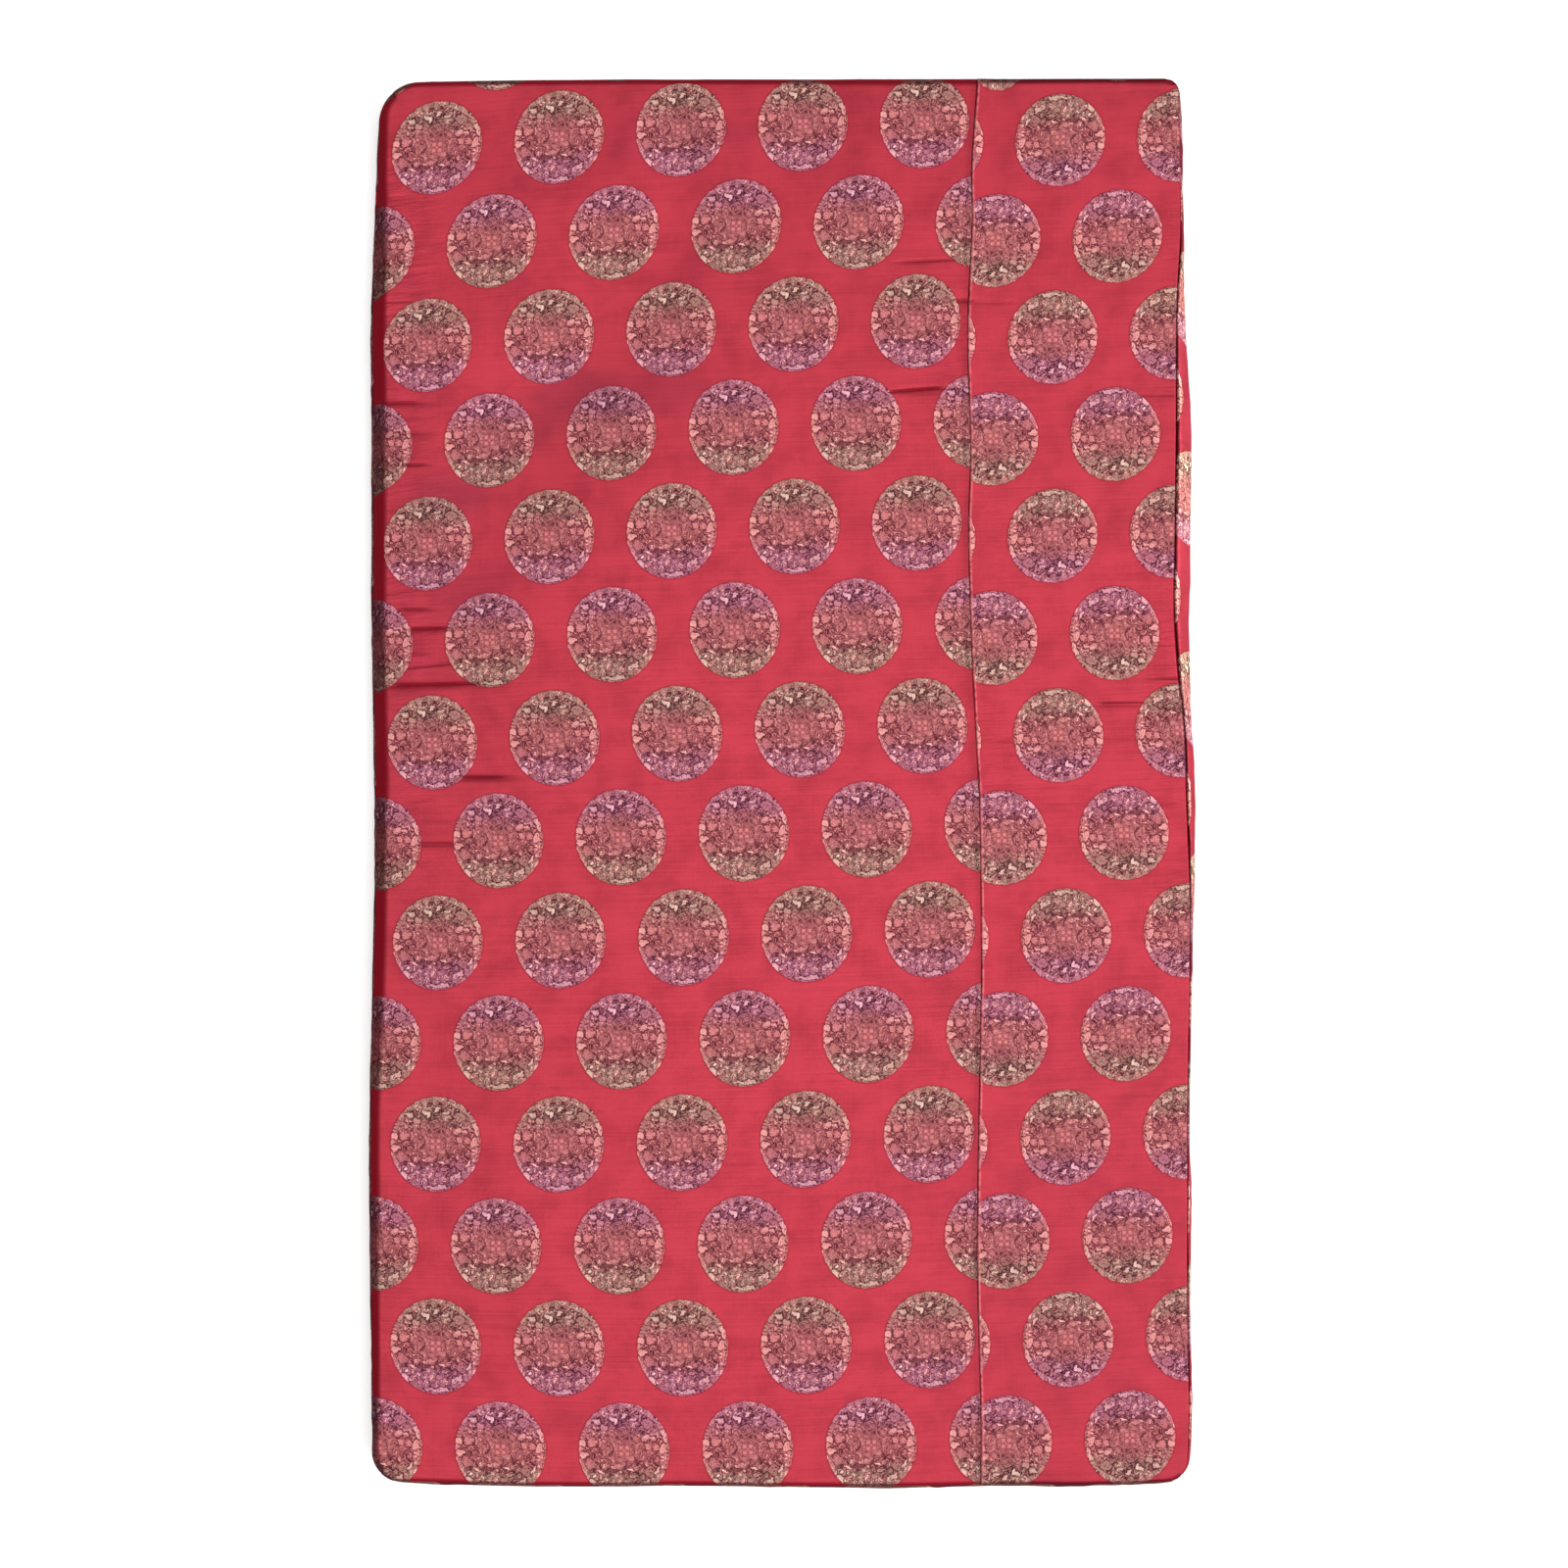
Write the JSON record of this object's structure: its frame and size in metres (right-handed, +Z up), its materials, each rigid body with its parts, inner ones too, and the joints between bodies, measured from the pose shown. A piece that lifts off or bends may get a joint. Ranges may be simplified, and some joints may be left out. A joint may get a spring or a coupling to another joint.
{
  "type": "bench cushion",
  "caption": "Boxed foam bench cushion in red figured satin: a face of joined panels with rolled edges, boxing bands round the sides and a plain back.",
  "frame": {"origin": "middle of the back, on the surface that the cushion lies on", "axes": "+X across the width towards the narrow panel, +Y along the length towards the head, +Z up through the face"},
  "size_m": [0.5311, 0.902, 0.056],
  "materials": {
    "face_satin": "satin weave with woven roundels",
    "band_satin": "satin weave with woven roundels",
    "back_satin": "satin weave with woven roundels"
  },
  "bodies": {
    "root": {"cushion_body": "back_satin", "face_wide": "face_satin", "face_narrow": "face_satin", "band_left": "band_satin", "band_right": "band_satin", "band_head": "band_satin", "band_foot": "band_satin"}
  },
  "joints": []
}
